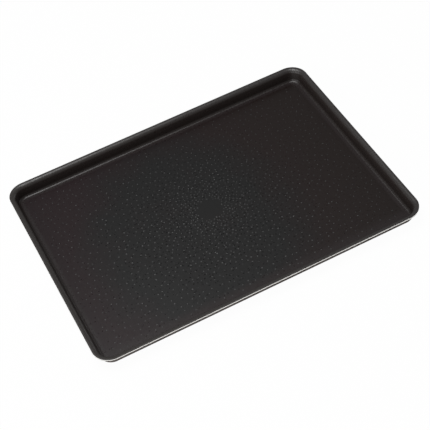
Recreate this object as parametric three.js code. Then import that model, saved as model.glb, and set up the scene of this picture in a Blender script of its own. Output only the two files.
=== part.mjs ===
// A shallow non-stick baking tray, pressed from one sheet and coated on both sides.
// Millimetres, +Z up, the origin under the middle of the base, the long side along X.
import * as THREE from "three";

// Driving dimensions of the tray
const RIM_LENGTH = 380; // trimmed edge to trimmed edge along X
const RIM_WIDTH = 280; // trimmed edge to trimmed edge along Y
const TRAY_HEIGHT = 16.4; // underside of the base to the top of the lip
const LIP_FLAT = 1.1; // level band from the trimmed edge to the start of the bend
const LIP_INSIDE_RADIUS = 3.8; // inside of the bend, under the lip
const WALL_DRAFT = 10; // lean of the wall from the vertical, in degrees
const FLOOR_INSIDE_RADIUS = 3.6; // inside of the fillet, on the lining
const FLOOR_CORNER_RADIUS = 8.8; // corners of the flat floor, in plan

// Thickness of the layers
const SHEET_THICKNESS = 1.4;
const LINING_THICKNESS = 0.1;
const OUTER_COAT_THICKNESS = 0.1;

// Facets of the round stretches
const BEND_STEPS = 6; // along the bend and along the fillet
const CORNER_STEPS = 8; // round each corner

// The section is drawn on the sheet's upper face, where the lining starts.
const lipHeight = TRAY_HEIGHT - LINING_THICKNESS;
const floorHeight = OUTER_COAT_THICKNESS + SHEET_THICKNESS;
const bendRadius = LIP_INSIDE_RADIUS + OUTER_COAT_THICKNESS + SHEET_THICKNESS;
const filletRadius = FLOOR_INSIDE_RADIUS + LINING_THICKNESS;
const wallTurn = THREE.MathUtils.degToRad(90 - WALL_DRAFT);
const arcsDrop = (bendRadius + filletRadius) * (1 - Math.cos(wallTurn));
const wallLength = (lipHeight - floorHeight - arcsDrop) / Math.sin(wallTurn);
const arcsRun = (bendRadius + filletRadius) * Math.sin(wallTurn);
const floorInset = LIP_FLAT + arcsRun + wallLength * Math.cos(wallTurn);

// All the corners of one plan corner share a centre, so the wall keeps its section round it.
const rimCornerRadius = FLOOR_CORNER_RADIUS + floorInset;
const cornerX = RIM_LENGTH / 2 - rimCornerRadius;
const cornerY = RIM_WIDTH / 2 - rimCornerRadius;

// The turns of an arc's normal from the vertical, from level to the wall's lean.
function arcTurns() {
  return Array.from({ length: BEND_STEPS + 1 }, (_, step) => (wallTurn * step) / BEND_STEPS);
}

// The section from the floor's edge up the wall and out to the trimmed edge. A station has its inset
// from the trimmed edge, its height, and the turn of its normal from the vertical.
function sectionStations() {
  const fillet = arcTurns().map((turn) => ({
    inset: floorInset - filletRadius * Math.sin(turn),
    height: floorHeight + filletRadius * (1 - Math.cos(turn)),
    turn,
  }));
  const bend = arcTurns().map((turn) => ({
    inset: LIP_FLAT + bendRadius * Math.sin(turn),
    height: lipHeight - bendRadius * (1 - Math.cos(turn)),
    turn,
  }));
  const trimmedEdge = { inset: 0, height: lipHeight, turn: 0 };
  return [...fillet, ...bend.reverse(), trimmedEdge];
}

// A rounded rectangle round the tray through a station, moved along the station's normal by offset.
function ring(station, offset) {
  const radius = rimCornerRadius - station.inset - offset * Math.sin(station.turn);
  const height = station.height + offset * Math.cos(station.turn);
  const points = [];
  for (let corner = 0; corner < 4; corner++) {
    const centreX = corner === 0 || corner === 3 ? cornerX : -cornerX;
    const centreY = corner < 2 ? cornerY : -cornerY;
    for (let step = 0; step <= CORNER_STEPS; step++) {
      const angle = (Math.PI / 2) * (corner + step / CORNER_STEPS);
      const x = centreX + radius * Math.cos(angle);
      const y = centreY + radius * Math.sin(angle);
      points.push(new THREE.Vector3(x, y, height));
    }
  }
  return points;
}

// A closed skin through the rings in their order, with a flat cap on the first and on the last.
function loft(rings) {
  const count = rings[0].length;
  const index = [];
  for (let row = 0; row + 1 < rings.length; row++) {
    for (let i = 0; i < count; i++) {
      const a = row * count + i;
      const b = row * count + ((i + 1) % count);
      index.push(a, a + count, b + count);
      index.push(a, b + count, b);
    }
  }
  const last = (rings.length - 1) * count;
  const outline = rings[0].map((point) => new THREE.Vector2(point.x, point.y));
  for (const [a, b, c] of THREE.ShapeUtils.triangulateShape(outline, [])) {
    index.push(a, b, c);
    index.push(last + c, last + b, last + a);
  }
  return new THREE.BufferGeometry().setFromPoints(rings.flat()).setIndex(index);
}

// One layer of the tray between two offsets from the sheet's upper face, trimmed flush at the lip.
function layer(name, lower, upper, material) {
  const stations = sectionStations();
  const top = stations.map((station) => ring(station, upper));
  const bottom = stations.map((station) => ring(station, lower)).reverse();
  const mesh = new THREE.Mesh(loft([...top, ...bottom]), material);
  mesh.name = name;
  return mesh;
}

const bareAluminium = new THREE.MeshStandardMaterial({
  color: 0xd9d7d3,
  roughness: 0.3,
  metalness: 1,
});
const nonstick = new THREE.MeshStandardMaterial({ color: 0x2e2b2b, roughness: 0.4, metalness: 0 });
const bakedLacquer = new THREE.MeshStandardMaterial({ color: 0x3a3532, roughness: 0.5, metalness: 0 });

const sheetUnderside = -SHEET_THICKNESS;
const tray = new THREE.Group();
tray.name = "baking_tray";
tray.add(
  layer("pressed_sheet", sheetUnderside, 0, bareAluminium),
  layer("nonstick_lining", 0, LINING_THICKNESS, nonstick),
  layer("outer_coat", sheetUnderside - OUTER_COAT_THICKNESS, sheetUnderside, bakedLacquer),
);

export default tray;
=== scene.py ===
"""Looks of a shallow non-stick baking tray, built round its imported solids. Metres, +Z up."""

import math
import random

import bmesh
import bpy
from mathutils import Matrix, Quaternion, Vector


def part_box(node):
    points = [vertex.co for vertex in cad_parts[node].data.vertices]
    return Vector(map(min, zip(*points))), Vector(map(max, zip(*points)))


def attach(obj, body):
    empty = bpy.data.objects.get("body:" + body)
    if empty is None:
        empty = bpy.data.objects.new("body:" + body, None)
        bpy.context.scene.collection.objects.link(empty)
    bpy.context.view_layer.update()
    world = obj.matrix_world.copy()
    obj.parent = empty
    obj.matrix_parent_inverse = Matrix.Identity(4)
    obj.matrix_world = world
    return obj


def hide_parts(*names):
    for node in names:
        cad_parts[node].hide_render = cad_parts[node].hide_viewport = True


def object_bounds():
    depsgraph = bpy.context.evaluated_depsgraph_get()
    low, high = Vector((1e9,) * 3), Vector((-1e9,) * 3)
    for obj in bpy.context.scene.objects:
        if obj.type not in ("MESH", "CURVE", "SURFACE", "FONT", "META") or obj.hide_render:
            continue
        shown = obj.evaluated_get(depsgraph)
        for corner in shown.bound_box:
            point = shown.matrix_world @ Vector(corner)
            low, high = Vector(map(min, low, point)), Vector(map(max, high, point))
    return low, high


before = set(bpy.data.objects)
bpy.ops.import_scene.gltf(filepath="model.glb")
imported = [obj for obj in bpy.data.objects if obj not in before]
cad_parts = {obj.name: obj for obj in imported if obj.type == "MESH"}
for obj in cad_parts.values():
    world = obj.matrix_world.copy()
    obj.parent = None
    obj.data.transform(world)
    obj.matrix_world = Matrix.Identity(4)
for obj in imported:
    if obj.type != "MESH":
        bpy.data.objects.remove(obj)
cad_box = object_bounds()

MM = 0.001
BODY = "root"

# The pressing's section, as in the solids
LIP_FLAT = 1.1 * MM
LIP_INSIDE_RADIUS = 3.8 * MM
WALL_DRAFT = math.radians(10)
FLOOR_INSIDE_RADIUS = 3.6 * MM
FLOOR_CORNER_RADIUS = 8.8 * MM

# Steps along a bend of the section and round a plan corner, and how the skins are joined
BEND_STEPS = 14
CORNER_STEPS = 24
FLOOR_SEAM = 1.5 * MM  # strip of floor that joins the flat floor to the fillet
SHARP_ANGLE = math.radians(35)
WELD = 1e-6

# Pips on the floor of the lining
PIP_RADIUS = 0.7 * MM
PIP_STEPS = ((0.14 * MM, 0.12 * MM), (0.2 * MM, 0.08 * MM))  # in and up, from the foot to the top
PIP_SINK = 0.02 * MM
PIP_SIDES = 8
PIP_SIZE_SPREAD = 0.25  # largest change of a pip's radius, as a share of it
PIP_BARE_MIDDLE = 14.5 * MM
PIP_EDGE_MARGIN = 7 * MM
PIP_SPACING = 3.1 * MM
PIP_SPREAD = 0.05  # growth of the spacing per metre of radius
PIP_WIDEST_SPACING = 8.5 * MM
PIP_SHAKE = 0.3  # farthest that a pip lies off its even place, as a share of the spacing
PIP_SEED = 5
PIP_PACKING = math.sqrt(3) / 2  # floor that a pip takes, as a share of its spacing squared
GOLDEN_ANGLE = math.pi * (3 - math.sqrt(5))

# The non-stick coat, on the lining and on its pips
NONSTICK_ROUGHNESS = 0.35
NONSTICK_IOR = 1.485

# Sizes of the patterns in the coats, of the pips' painted highlight, and on the sheared edge
WARM_PATCH_SIZE = 45 * MM
SPECK_SPACING = 5 * MM
SPECK_BARE_MIDDLE = PIP_BARE_MIDDLE + 2 * MM
GRAIN_SIZE = 1.6 * MM
PIP_HIGHLIGHT_MOTTLE_SIZE = 4 * MM
SHEAR_MARK_SIZE = 0.6 * MM
ORANGE_PEEL_SIZE = 1.2 * MM

# Camera at the photograph's viewing angle
CAMERA_AZIMUTH = math.radians(-18.74)
CAMERA_ELEVATION = math.radians(48.09)
CAMERA_ROLL = math.radians(10.46)
CAMERA_DISTANCE = 1.3273
CAMERA_AIM = Vector((-0.00324, -0.02377, cad_box[1].z))
CAMERA_LENS = 102.78
CAMERA_SENSOR = 36

# Studio floor and light
STUDIO_FLOOR_REACH = 8
STUDIO_FLOOR_DROP = 0.1 * MM
STUDIO_FLOOR_WHITE = 0.97  # share of plain white in what the camera sees of the floor
ROOM_GLOW = 0.237
OVERHEAD_PLACE = Vector((-0.273, 0.157, 1.62))
OVERHEAD_SIZE = (1.07, 1.07)
OVERHEAD_POWER = 17.5
LEFT_SOFTBOX_PLACE = Vector((-1.6, -0.58, 0.6))
LEFT_SOFTBOX_SIZE = (2.8, 1.2)
LEFT_SOFTBOX_POWER = 18
RIGHT_STRIP_PLACE = Vector((1.64, 0.44, 0.21))
RIGHT_STRIP_SIZE = (1.6, 0.42)
RIGHT_STRIP_POWER = 2.8

# Heights and thicknesses of the layers, from the frame
lining_low, lining_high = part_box("nonstick_lining")
sheet_low, sheet_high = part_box("pressed_sheet")
outer_low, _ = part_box("outer_coat")
LINING_THICKNESS = lining_high.z - sheet_high.z
SHEET_THICKNESS = lining_low.z - sheet_low.z
OUTER_COAT_THICKNESS = sheet_low.z - outer_low.z

# The section on the sheet's upper face, and the plan corner that it turns round
LIP_HEIGHT = sheet_high.z
FLOOR_HEIGHT = lining_low.z
WALL_TURN = math.pi / 2 - WALL_DRAFT
BEND_RADIUS = LIP_INSIDE_RADIUS + OUTER_COAT_THICKNESS + SHEET_THICKNESS
FILLET_RADIUS = FLOOR_INSIDE_RADIUS + LINING_THICKNESS
ARCS = BEND_RADIUS + FILLET_RADIUS
WALL_DROP = LIP_HEIGHT - FLOOR_HEIGHT - ARCS * (1 - math.cos(WALL_TURN))
WALL_RUN = WALL_DROP / math.tan(WALL_TURN)
FLOOR_INSET = LIP_FLAT + ARCS * math.sin(WALL_TURN) + WALL_RUN
RIM_X = sheet_high.x
RIM_Y = sheet_high.y
RIM_CORNER_RADIUS = FLOOR_INSET + FLOOR_CORNER_RADIUS
CORNER_X = RIM_X - RIM_CORNER_RADIUS
CORNER_Y = RIM_Y - RIM_CORNER_RADIUS

# Where each tone of the lining starts and where it is full: painted light along the front of the floor
# by Y, painted light at the floor's edge by the fillet and the tone on the fillet and the foot of the
# wall by distance from the plan corner's centre, above them by height
FRONT_PAINTED_LIGHT = (-110 * MM, -124 * MM)
FLOOR_EDGE_PAINTED_LIGHT = (RIM_CORNER_RADIUS - 16 * MM, RIM_CORNER_RADIUS - 12.5 * MM)
WALL_TONE = (RIM_CORNER_RADIUS - 11.5 * MM, RIM_CORNER_RADIUS - 9 * MM)
LIP_TONE_TILTS = (math.radians(75), math.radians(30))  # slopes of the bend there, from level
LIP_TONE = tuple(cad_box[1].z - BEND_RADIUS * (1 - math.cos(tilt)) for tilt in LIP_TONE_TILTS)
UPPER_WALL_TONE = (6 * MM, LIP_TONE[0])


def verts_of(geometry):
    return [item for item in geometry if isinstance(item, bmesh.types.BMVert)]


def edges_of(geometry):
    return [item for item in geometry if isinstance(item, bmesh.types.BMEdge)]


def faces_of(geometry):
    return [item for item in geometry if isinstance(item, bmesh.types.BMFace)]


def pull(skin, vert, step):
    """Extrudes the section's last vertex by a straight step."""
    tip = bmesh.ops.extrude_vert_indiv(skin, verts=[vert])["verts"][0]
    tip.co += Vector(step)
    return tip


def sweep(skin, vert, centre, angle):
    """Extrudes the section's last vertex along an arc in the plane of X and Z."""
    made = bmesh.ops.spin(
        skin, geom=[vert], cent=centre, axis=(0, 1, 0), angle=angle, steps=BEND_STEPS
    )
    return verts_of(made["geom_last"])[0]


def draw_section(skin, offset):
    """Section from the trimmed edge in to the floor, at an offset from the sheet's upper face."""
    edge = skin.verts.new((RIM_X, CORNER_Y, LIP_HEIGHT + offset))
    tip = pull(skin, edge, (-LIP_FLAT, 0, 0))
    below = Vector((0, 0, BEND_RADIUS + offset))
    tip = sweep(skin, tip, tip.co - below, -WALL_TURN)
    tip = pull(skin, tip, (-WALL_RUN, 0, -WALL_DROP))
    fillet = FILLET_RADIUS - offset
    inward = Vector((-fillet * math.sin(WALL_TURN), 0, fillet * math.cos(WALL_TURN)))
    sweep(skin, tip, tip.co + inward, WALL_TURN)


def run_straight(skin, edges, step):
    """Extrudes the section along a straight side."""
    made = bmesh.ops.extrude_edge_only(skin, edges=edges)["geom"]
    bmesh.ops.translate(skin, verts=verts_of(made), vec=step)


def pressed_skin(offset, thickness):
    """The whole pressing at an offset from the sheet's upper face, with a thickness below it."""
    skin = bmesh.new()
    draw_section(skin, offset)
    section = skin.edges[:]
    turned = bmesh.ops.spin(
        skin,
        geom=skin.verts[:] + section,
        cent=(CORNER_X, CORNER_Y, 0),
        axis=(0, 0, 1),
        angle=math.pi / 2,
        steps=CORNER_STEPS,
    )
    run_straight(skin, section, (0, -CORNER_Y, 0))
    run_straight(skin, edges_of(turned["geom_last"]), (-CORNER_X, 0, 0))
    for axis in "XY":
        quarter = skin.verts[:] + skin.edges[:] + skin.faces[:]
        bmesh.ops.mirror(
            skin, geom=quarter, matrix=Matrix.Identity(4), merge_dist=WELD, axis=axis
        )
    bmesh.ops.remove_doubles(skin, verts=skin.verts, dist=WELD)
    floor_height = FLOOR_HEIGHT + offset
    floor_edge = [
        edge
        for edge in skin.edges
        if edge.is_boundary and all(abs(v.co.z - floor_height) < WELD for v in edge.verts)
    ]
    floor = bmesh.ops.edgeloop_fill(skin, edges=floor_edge)["faces"]
    bmesh.ops.inset_region(skin, faces=floor, thickness=FLOOR_SEAM, use_even_offset=True)
    bmesh.ops.recalc_face_normals(skin, faces=skin.faces)
    if floor[0].normal.z < 0:
        bmesh.ops.reverse_faces(skin, faces=skin.faces)
    bmesh.ops.solidify(skin, geom=skin.faces[:], thickness=thickness)
    return skin


def pip_places(floor_x, floor_y):
    """Places and radii of a scatter on the floor, round a bare middle, that thins out outwards."""
    chance = random.Random(PIP_SEED)
    radius = PIP_BARE_MIDDLE
    turn = 0.0
    reach = math.hypot(floor_x, floor_y)
    while radius < reach:
        spacing = min(PIP_SPACING + PIP_SPREAD * radius, PIP_WIDEST_SPACING)
        shake = PIP_SHAKE * spacing * math.sqrt(chance.random())
        shake_turn = chance.uniform(0, 2 * math.pi)
        x = radius * math.cos(turn) + shake * math.cos(shake_turn)
        y = radius * math.sin(turn) + shake * math.sin(shake_turn)
        size = PIP_RADIUS * chance.uniform(1 - PIP_SIZE_SPREAD, 1 + PIP_SIZE_SPREAD)
        if abs(x) < floor_x and abs(y) < floor_y:
            yield x, y, size
        radius += PIP_PACKING * spacing**2 / (2 * math.pi * radius)
        turn += GOLDEN_ANGLE


def pip_field():
    """Low flat-topped domes on the lining's floor, each closed by its own base."""
    field = bmesh.new()
    inset = FLOOR_INSET + PIP_EDGE_MARGIN
    height = FLOOR_HEIGHT + LINING_THICKNESS - PIP_SINK
    for x, y, radius in pip_places(RIM_X - inset, RIM_Y - inset):
        bmesh.ops.create_circle(
            field,
            cap_ends=True,
            segments=PIP_SIDES,
            radius=radius,
            matrix=Matrix.Translation((x, y, height)),
        )
    tops = field.faces[:]
    bases = faces_of(bmesh.ops.duplicate(field, geom=tops)["geom"])
    bmesh.ops.reverse_faces(field, faces=bases)
    for step_in, step_up in PIP_STEPS:
        bmesh.ops.inset_individual(field, faces=tops, thickness=step_in, depth=step_up)
    bmesh.ops.remove_doubles(field, verts=field.verts, dist=WELD)
    return field


def piece(name, shape, material, slot, *nodes):
    """Makes a shape an object that rides on the tray and stands for CAD nodes."""
    for face in shape.faces:
        face.smooth = True
    mesh = bpy.data.meshes.new(name)
    shape.to_mesh(mesh)
    shape.free()
    mesh.set_sharp_from_angle(angle=SHARP_ANGLE)
    mesh.materials.append(material)
    made = bpy.data.objects.new(name, mesh)
    bpy.context.scene.collection.objects.link(made)
    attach(made, BODY)
    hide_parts(*nodes)


def linear(hex_code):
    """An sRGB hex colour as linear RGBA."""
    channels = [int(hex_code[i : i + 2], 16) / 255 for i in (1, 3, 5)]
    return [c / 12.92 if c <= 0.04045 else ((c + 0.055) / 1.055) ** 2.4 for c in channels] + [1]


def node(tree, kind, inputs=None, **settings):
    """Adds a node. Inputs are values to set or sockets to link."""
    made = tree.nodes.new("ShaderNode" + kind)
    for name, value in settings.items():
        setattr(made, name, value)
    for name, value in (inputs or {}).items():
        if isinstance(value, bpy.types.NodeSocket):
            tree.links.new(value, made.inputs[name])
        else:
            made.inputs[name].default_value = value
    return made


def new_material(name):
    """An empty material and its node tree."""
    material = bpy.data.materials.new(name)
    material.use_nodes = True
    material.node_tree.nodes.clear()
    return material, material.node_tree


def nonstick_satin():
    """Sprayed and baked non-stick coat: near black and satin, with painted light at the edge of the
    floor, and lighter up the bend and over the lip.
    """
    material, tree = new_material("nonstick_satin_coat")
    place = node(tree, "TexCoord").outputs["Object"]
    axes = node(tree, "SeparateXYZ", {"Vector": place}).outputs
    # The coat warms a little away from a neutral spot left and in front of the middle, in patches about
    # 45 mm wide: to a purple brown on the left and to a plain brown on the right.
    spot = node(
        tree,
        "Mapping",
        {"Vector": place, "Location": (30 * MM, 20 * MM, 0), "Scale": (1, 0.75, 1)},
    )
    reach = node(tree, "VectorMath", {0: spot.outputs["Vector"]}, operation="LENGTH")
    browning = node(
        tree,
        "MapRange",
        {
            "Value": reach.outputs["Value"],
            "From Min": 85 * MM,
            "From Max": 140 * MM,
            "To Min": -0.5,
            "To Max": 0.6,
        },
    )
    patches = node(tree, "TexNoise", {"Vector": place, "Scale": 1 / WARM_PATCH_SIZE, "Detail": 2.0})
    warmth = node(
        tree,
        "Math",
        {0: browning.outputs["Result"], 1: patches.outputs["Fac"]},
        operation="ADD",
        use_clamp=True,
    )
    rightward = node(
        tree, "MapRange", {"Value": axes["X"], "From Min": -100 * MM, "From Max": 150 * MM}
    )
    warm_tone = node(
        tree,
        "Mix",
        {
            "Factor": rightward.outputs["Result"],
            "A": linear("#1a0c0f"),
            "B": linear("#160c09"),
        },
        data_type="RGBA",
    )
    floor_tone = node(
        tree,
        "Mix",
        {
            "Factor": warmth.outputs["Value"],
            "A": linear("#111111"),
            "B": warm_tone.outputs["Result"],
        },
        data_type="RGBA",
    )
    # Painted light: the floor is painted lighter along its front and at its edge by the fillet, where
    # more light falls on it. The tone is lighter again up the bend to the lip. The distance from the
    # plan corner's centre leaves the height out by the large Z.
    sides = node(tree, "VectorMath", {0: place}, operation="ABSOLUTE").outputs["Vector"]
    past = node(tree, "VectorMath", {0: sides, 1: (CORNER_X, CORNER_Y, 1)}, operation="SUBTRACT")
    outside = node(tree, "VectorMath", {0: past.outputs["Vector"], 1: (0, 0, 0)}, operation="MAXIMUM")
    spread = node(tree, "VectorMath", {0: outside.outputs["Vector"]}, operation="LENGTH")
    lip_tone = node(
        tree,
        "Mix",
        {
            "Factor": rightward.outputs["Result"],
            "A": linear("#34312f"),
            "B": linear("#312e2d"),
        },
        data_type="RGBA",
    )
    tone = floor_tone.outputs["Result"]
    for measure, (start, full), colour in (
        # The first two tones are painted light on the floor's edge.
        (axes["Y"], FRONT_PAINTED_LIGHT, linear("#221b1b")),
        (spread.outputs["Value"], FLOOR_EDGE_PAINTED_LIGHT, linear("#231c1c")),
        (spread.outputs["Value"], WALL_TONE, linear("#1e1816")),
        (axes["Z"], UPPER_WALL_TONE, linear("#27211f")),
        (axes["Z"], LIP_TONE, lip_tone.outputs["Result"]),
    ):
        share = node(
            tree,
            "MapRange",
            {"Value": measure, "From Min": start, "From Max": full},
            interpolation_type="SMOOTHSTEP",
        )
        tone = node(
            tree,
            "Mix",
            {"Factor": share.outputs["Result"], "A": tone, "B": colour},
            data_type="RGBA",
        ).outputs["Result"]
    # Smoother specks about 2 mm wide and 5 mm apart lie between the pips, some stronger than others, and
    # fade outwards. They throw less of the overhead light aside, so they look darker.
    cells = node(
        tree, "TexVoronoi", {"Vector": place, "Scale": 1 / SPECK_SPACING}, voronoi_dimensions="2D"
    )
    specks = node(
        tree,
        "MapRange",
        {
            "Value": cells.outputs["Distance"],
            "From Min": 0.14,
            "From Max": 0.26,
            "To Min": 1.0,
            "To Max": 0.0,
        },
    )
    from_middle = node(tree, "VectorMath", {0: place}, operation="LENGTH").outputs["Value"]
    smoothing = node(
        tree,
        "MapRange",
        {
            "Value": from_middle,
            "From Min": 40 * MM,
            "From Max": 130 * MM,
            "To Min": 0.27,
            "To Max": 0.1,
        },
    )
    past_middle = node(
        tree, "Math", {0: from_middle, 1: SPECK_BARE_MIDDLE}, operation="GREATER_THAN"
    )
    on_floor = node(
        tree, "Math", {0: axes["Z"], 1: FLOOR_HEIGHT + 2 * LINING_THICKNESS}, operation="LESS_THAN"
    )
    smoothness = smoothing.outputs["Result"]
    for factor in (
        specks.outputs["Result"],
        cells.outputs["Color"],
        past_middle.outputs["Value"],
        on_floor.outputs["Value"],
    ):
        smoothness = node(
            tree, "Math", {0: smoothness, 1: factor}, operation="MULTIPLY"
        ).outputs["Value"]
    even_roughness = node(
        tree, "Math", {0: NONSTICK_ROUGHNESS, 1: smoothness}, operation="SUBTRACT"
    )
    # Spray grain of about 0.5 mm, drawn at 1.6 mm to show at all. It roughens the coat unevenly where
    # the sheet was formed, so that the highlights there glint.
    grain = node(tree, "TexNoise", {"Vector": place, "Scale": 1 / GRAIN_SIZE, "Detail": 2.0})
    bump = node(
        tree, "Bump", {"Height": grain.outputs["Fac"], "Strength": 0.15, "Distance": 0.1 * MM}
    )
    unevenness = node(
        tree,
        "MapRange",
        {
            "Value": spread.outputs["Value"],
            "From Min": FLOOR_EDGE_PAINTED_LIGHT[0],
            "From Max": FLOOR_EDGE_PAINTED_LIGHT[1],
            "To Min": 0.04,
            "To Max": 0.6,
        },
    )
    above_mean = node(tree, "Math", {0: grain.outputs["Fac"], 1: 0.5}, operation="SUBTRACT")
    roughness = node(
        tree,
        "Math",
        {
            0: above_mean.outputs["Value"],
            1: unevenness.outputs["Result"],
            2: even_roughness.outputs["Value"],
        },
        operation="MULTIPLY_ADD",
    )
    coat = node(
        tree,
        "BsdfPrincipled",
        {
            "Base Color": tone,
            "Roughness": roughness.outputs["Value"],
            "IOR": NONSTICK_IOR,
            "Normal": bump.outputs["Normal"],
        },
    )
    node(tree, "OutputMaterial", {"Surface": coat.outputs["BSDF"]})
    return material


def pip_coat():
    """The raised pips: the same satin coat, with a painted highlight in a lighter grey that is uneven
    from one pip to the next.
    """
    material, tree = new_material("nonstick_pip_coat_painted_highlight")
    place = node(tree, "TexCoord").outputs["Object"]
    # Painted highlight: the pips are lighter towards a spot in the front left quarter, where they catch
    # the overhead light, fade away from it, and vary by half from one to the next.
    spot = node(tree, "Mapping", {"Vector": place, "Location": (60 * MM, 60 * MM, 0)})
    reach = node(tree, "VectorMath", {0: spot.outputs["Vector"]}, operation="LENGTH")
    highlight_fade = node(
        tree,
        "MapRange",
        {
            "Value": reach.outputs["Value"],
            "From Min": 60 * MM,
            "From Max": 230 * MM,
            "To Min": 0.52,
            "To Max": 0.06,
        },
    )
    highlight_mottle = node(tree, "TexNoise", {"Vector": place, "Scale": 1 / PIP_HIGHLIGHT_MOTTLE_SIZE, "Detail": 1.0})
    highlight_variation = node(
        tree,
        "MapRange",
        {
            "Value": highlight_mottle.outputs["Fac"],
            "From Min": 0.35,
            "From Max": 0.65,
            "To Min": 0.5,
            "To Max": 1.5,
        },
    )
    painted_highlight = node(
        tree,
        "Math",
        {0: highlight_fade.outputs["Result"], 1: highlight_variation.outputs["Result"]},
        operation="MULTIPLY",
    )
    # The lighter grey is the painted highlight.
    tone = node(
        tree,
        "Mix",
        {
            "Factor": painted_highlight.outputs["Value"],
            "A": linear("#181818"),
            "B": linear("#5c5c5c"),
        },
        data_type="RGBA",
    )
    coat = node(
        tree,
        "BsdfPrincipled",
        {
            "Base Color": tone.outputs["Result"],
            "Roughness": NONSTICK_ROUGHNESS,
            "IOR": NONSTICK_IOR,
        },
    )
    node(tree, "OutputMaterial", {"Surface": coat.outputs["BSDF"]})
    return material


def sheared_aluminium():
    """Bare aluminium at the sheared edge of the lip: bright, with fine upright shear marks."""
    material, tree = new_material("sheared_aluminium_edge")
    place = node(tree, "TexCoord").outputs["Object"]
    stretched = node(tree, "Mapping", {"Vector": place, "Scale": (1, 1, 0.1)})
    marks = node(
        tree,
        "TexNoise",
        {"Vector": stretched.outputs["Vector"], "Scale": 1 / SHEAR_MARK_SIZE, "Detail": 2.0},
    )
    rough = node(
        tree,
        "MapRange",
        {"Value": marks.outputs["Fac"], "To Min": 0.3, "To Max": 0.4},
    )
    metal = node(
        tree,
        "BsdfPrincipled",
        {
            "Base Color": linear("#ecebe7"),
            "Metallic": 1.0,
            "Roughness": rough.outputs["Result"],
        },
    )
    node(tree, "OutputMaterial", {"Surface": metal.outputs["BSDF"]})
    return material


def baked_lacquer():
    """Baked outer coat: dark brown grey, satin, with a slight orange peel."""
    material, tree = new_material("baked_lacquer_satin")
    place = node(tree, "TexCoord").outputs["Object"]
    peel = node(tree, "TexNoise", {"Vector": place, "Scale": 1 / ORANGE_PEEL_SIZE, "Detail": 1.0})
    tone = node(
        tree,
        "Mix",
        {
            "Factor": peel.outputs["Fac"],
            "A": linear("#524944"),
            "B": linear("#5a504b"),
        },
        data_type="RGBA",
    )
    bump = node(
        tree, "Bump", {"Height": peel.outputs["Fac"], "Strength": 0.2, "Distance": 0.05 * MM}
    )
    coat = node(
        tree,
        "BsdfPrincipled",
        {
            "Base Color": tone.outputs["Result"],
            "Roughness": 0.4,
            "IOR": 1.48,
            "Normal": bump.outputs["Normal"],
        },
    )
    node(tree, "OutputMaterial", {"Surface": coat.outputs["BSDF"]})
    return material


def white_floor():
    """Studio floor: white to the eye, with a trace of the tray's soft shadow."""
    material, tree = new_material("white_studio_floor")
    seen = node(tree, "LightPath").outputs["Is Camera Ray"]
    share = node(tree, "Math", {0: seen, 1: STUDIO_FLOOR_WHITE}, operation="MULTIPLY")
    paint = node(tree, "BsdfDiffuse", {"Color": linear("#f2f2f2")})
    glow = node(tree, "Emission", {"Color": linear("#ffffff"), "Strength": 1.0})
    mixed = node(
        tree,
        "MixShader",
        {0: share.outputs["Value"], 1: paint.outputs["BSDF"], 2: glow.outputs["Emission"]},
    )
    node(tree, "OutputMaterial", {"Surface": mixed.outputs["Shader"]})
    return material


def studio_floor():
    """A plain floor just under the tray."""
    ground = bmesh.new()
    bmesh.ops.create_grid(ground, x_segments=1, y_segments=1, size=STUDIO_FLOOR_REACH)
    bmesh.ops.translate(ground, verts=ground.verts, vec=(0, 0, -STUDIO_FLOOR_DROP))
    mesh = bpy.data.meshes.new("studio_floor")
    ground.to_mesh(mesh)
    ground.free()
    mesh.materials.append(white_floor())
    floor = bpy.data.objects.new("studio_floor", mesh)
    bpy.context.scene.collection.objects.link(floor)


def softbox(name, shape, place, size, power):
    """A soft light that faces the tray."""
    lamp = bpy.data.lights.new(name, "AREA")
    lamp.shape = shape
    lamp.size, lamp.size_y = size
    lamp.energy = power
    light = bpy.data.objects.new(name, lamp)
    light.location = place
    light.rotation_mode = "QUATERNION"
    light.rotation_quaternion = (-place).to_track_quat("-Z", "Y")
    bpy.context.scene.collection.objects.link(light)


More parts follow.
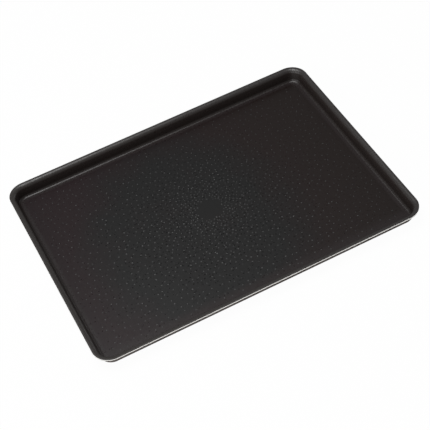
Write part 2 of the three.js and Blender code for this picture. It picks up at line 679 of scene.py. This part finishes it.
def studio_world():
    """A dim even room round the softboxes."""
    world = bpy.data.worlds.new("studio_world")
    world.use_nodes = True
    tree = world.node_tree
    tree.nodes.clear()
    room = node(tree, "Background", {"Color": linear("#ffffff"), "Strength": ROOM_GLOW})
    node(tree, "OutputWorld", {"Surface": room.outputs["Background"]})
    bpy.context.scene.world = world


def studio_camera():
    """The camera, aimed and rolled as in the photograph."""
    lens = bpy.data.cameras.new("studio_camera")
    lens.lens = CAMERA_LENS
    lens.sensor_width = CAMERA_SENSOR
    camera = bpy.data.objects.new("studio_camera", lens)
    across = math.cos(CAMERA_ELEVATION)
    back = Vector(
        (
            math.sin(CAMERA_AZIMUTH) * across,
            -math.cos(CAMERA_AZIMUTH) * across,
            math.sin(CAMERA_ELEVATION),
        )
    )
    camera.location = CAMERA_AIM + CAMERA_DISTANCE * back
    camera.rotation_mode = "QUATERNION"
    roll = Quaternion((0, 0, 1), -CAMERA_ROLL)
    camera.rotation_quaternion = (-back).to_track_quat("-Z", "Y") @ roll
    bpy.context.scene.collection.objects.link(camera)
    bpy.context.scene.camera = camera


bpy.context.scene.view_settings.view_transform = "Standard"
studio_camera()
studio_floor()
studio_world()
softbox("overhead_softbox", "DISK", OVERHEAD_PLACE, OVERHEAD_SIZE, OVERHEAD_POWER)
softbox("left_softbox", "RECTANGLE", LEFT_SOFTBOX_PLACE, LEFT_SOFTBOX_SIZE, LEFT_SOFTBOX_POWER)
softbox("right_strip", "RECTANGLE", RIGHT_STRIP_PLACE, RIGHT_STRIP_SIZE, RIGHT_STRIP_POWER)

lining = pressed_skin(LINING_THICKNESS, LINING_THICKNESS)
piece("nonstick_lining_coat", lining, nonstick_satin(), "nonstick_coat", "nonstick_lining")
piece("floor_pips", pip_field(), pip_coat(), "nonstick_coat")
sheet = pressed_skin(0, SHEET_THICKNESS)
piece("trimmed_sheet", sheet, sheared_aluminium(), "bare_aluminium", "pressed_sheet")
outer = pressed_skin(-SHEET_THICKNESS, OUTER_COAT_THICKNESS)
piece("outer_lacquer", outer, baked_lacquer(), "baked_lacquer", "outer_coat")
